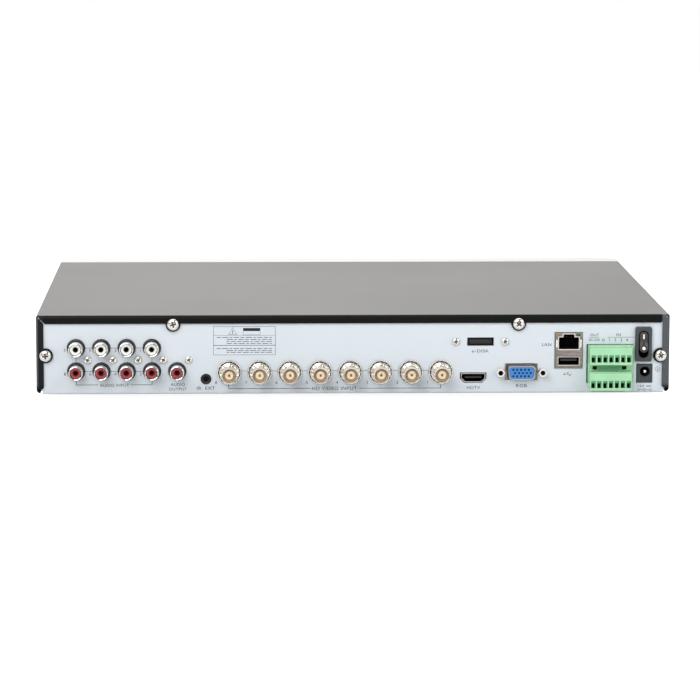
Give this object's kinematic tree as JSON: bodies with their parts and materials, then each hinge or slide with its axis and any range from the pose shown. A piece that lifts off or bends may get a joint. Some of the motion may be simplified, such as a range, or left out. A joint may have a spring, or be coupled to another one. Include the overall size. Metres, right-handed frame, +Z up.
{
  "type": "dvr recorder",
  "caption": "Low desktop security video recorder: folded steel case, rear panel of phono, bayonet video, network, terminal and power connectors, rocker switch and a keyed front.",
  "frame": {"origin": "centre of the footprint, on the plane the feet stand on", "axes": "+X along the case's width, to the viewer's right when looking at the connector panel; +Y from the connector panel to the front; +Z up"},
  "size_m": [0.375, 0.3012, 0.0517],
  "materials": {
    "cover_paint": "satin black powder coat",
    "panel_paint": "smooth pale blue-grey paint",
    "bezel_plastic": "smooth dark moulding",
    "black_plastic": "moulded black",
    "key_plastic": "moulded dark grey",
    "green_plastic": "moulded light green",
    "blue_plastic": "moulded blue",
    "nickel": "bright nickel plate",
    "rubber": "moulded black rubber",
    "board_green": "green resist",
    "aluminium": "plain",
    "cable_grey": "grey jacket",
    "smoked_window": "smoked, polished"
  },
  "bodies": {
    "recorder": {"analog_video_port": "blue_plastic", "bnc_socket_1": "nickel", "bnc_socket_2": "nickel", "bnc_socket_3": "nickel", "bnc_socket_4": "nickel", "bnc_socket_5": "nickel", "bnc_socket_6": "nickel", "bnc_socket_7": "nickel", "bnc_socket_8": "nickel", "chassis_base": "panel_paint", "cover_screw_1": "nickel", "cover_screw_2": "nickel", "cover_screw_3": "nickel", "cover_screw_4": "nickel", "digital_video_port": "nickel", "disk_link_port": "black_plastic", "disk_link_screw_1": "nickel", "disk_link_screw_2": "nickel", "drive_bracket": "aluminium", "drive_cable": "cable_grey", "foot_1": "rubber", "foot_2": "rubber", "foot_3": "rubber", "foot_4": "rubber", "front_bezel": "bezel_plastic", "front_board": "board_green", "front_data_port": "nickel", "front_ribbon": "cable_grey", "hard_drive": "aluminium", "heat_sink": "aluminium", "main_board": "board_green", "network_data_port": "nickel", "power_jack": "black_plastic", "rca_block_1": "black_plastic", "rca_block_2": "black_plastic", "rca_block_3": "black_plastic", "rca_block_4": "black_plastic", "rca_block_5": "black_plastic", "rca_screw_1": "nickel", "rca_screw_2": "nickel", "rca_screw_3": "nickel", "rca_screw_4": "nickel", "rca_screw_5": "nickel", "receiver_window": "smoked_window", "remote_jack": "black_plastic", "switch_housing": "black_plastic", "terminal_header": "green_plastic", "top_cover": "cover_paint", "video_standoff_1": "nickel", "video_standoff_2": "nickel"},
    "power_rocker": {"power_rocker": "black_plastic"},
    "terminal_plug_upper": {"terminal_plug_upper": "green_plastic"},
    "terminal_plug_lower": {"terminal_plug_lower": "green_plastic"},
    "key_select": {"key_select": "key_plastic"},
    "key_up": {"key_up": "key_plastic"},
    "key_down": {"key_down": "key_plastic"},
    "key_left": {"key_left": "key_plastic"},
    "key_right": {"key_right": "key_plastic"},
    "key_menu": {"key_menu": "key_plastic"},
    "key_power": {"key_power": "key_plastic"}
  },
  "joints": [
    {"name": "power_rocker_hinge", "type": "hinge", "parent": "recorder", "child": "power_rocker", "pos_m": [0.17185, -0.1346, 0.0338], "axis": [1, 0, 0], "range_deg": [0, 24]},
    {"name": "terminal_plug_upper_slide", "type": "slide", "parent": "recorder", "child": "terminal_plug_upper", "axis": [0, -1, 0], "range_m": [0, 0.009]},
    {"name": "terminal_plug_lower_slide", "type": "slide", "parent": "recorder", "child": "terminal_plug_lower", "axis": [0, -1, 0], "range_m": [0, 0.009]},
    {"name": "key_select_press", "type": "slide", "parent": "recorder", "child": "key_select", "axis": [0, -1, 0], "range_m": [0, 0.0008], "stiffness_N_per_m": 1500},
    {"name": "key_up_press", "type": "slide", "parent": "recorder", "child": "key_up", "axis": [0, -1, 0], "range_m": [0, 0.0008], "stiffness_N_per_m": 1500},
    {"name": "key_down_press", "type": "slide", "parent": "recorder", "child": "key_down", "axis": [0, -1, 0], "range_m": [0, 0.0008], "stiffness_N_per_m": 1500},
    {"name": "key_left_press", "type": "slide", "parent": "recorder", "child": "key_left", "axis": [0, -1, 0], "range_m": [0, 0.0008], "stiffness_N_per_m": 1500},
    {"name": "key_right_press", "type": "slide", "parent": "recorder", "child": "key_right", "axis": [0, -1, 0], "range_m": [0, 0.0008], "stiffness_N_per_m": 1500},
    {"name": "key_menu_press", "type": "slide", "parent": "recorder", "child": "key_menu", "axis": [0, -1, 0], "range_m": [0, 0.0008], "stiffness_N_per_m": 1500},
    {"name": "key_power_press", "type": "slide", "parent": "recorder", "child": "key_power", "axis": [0, -1, 0], "range_m": [0, 0.0008], "stiffness_N_per_m": 1500}
  ]
}
